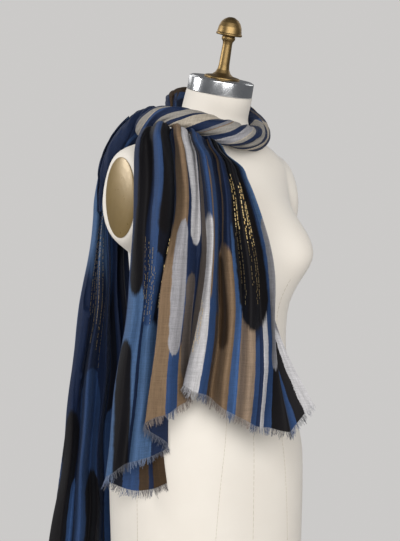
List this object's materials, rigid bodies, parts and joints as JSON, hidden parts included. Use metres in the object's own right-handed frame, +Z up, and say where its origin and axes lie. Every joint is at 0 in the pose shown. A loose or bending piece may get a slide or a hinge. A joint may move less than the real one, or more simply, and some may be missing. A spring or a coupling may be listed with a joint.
{
  "type": "scarf on a dress form",
  "caption": "Long fringed scarf wound once round the neck of a limbless dress form on a round stand.",
  "frame": {"origin": "middle of the underside of the stand's base", "axes": "+Z up, the form faces -Y, its right side is at -X"},
  "size_m": [0.4325, 0.4304, 1.587],
  "materials": {
    "linen": "smooth cream cloth over a hard shell",
    "steel": "polished",
    "brass": "aged, satin",
    "plate": "glossy beige gold",
    "iron": "black paint",
    "striped_cloth": "fine weave with lengthwise stripes in blues, tan, grey and black",
    "navy_cloth": "fine weave, the stripes' navy side"
  },
  "bodies": {
    "root": {"form_body": "linen", "neck_band": "steel", "neck_knob": "brass", "form_right_plate": "plate", "form_left_plate": "plate", "stand_base": "iron", "stand_pole": "steel", "stand_collar": "iron", "scarf_front_fall": "striped_cloth", "scarf_front_fringe": "striped_cloth", "scarf_back_tail": "navy_cloth", "scarf_back_fringe": "navy_cloth", "scarf_neck_roll": "striped_cloth", "scarf_nape_roll": "navy_cloth", "scarf_shoulder_roll": "navy_cloth"}
  },
  "joints": []
}
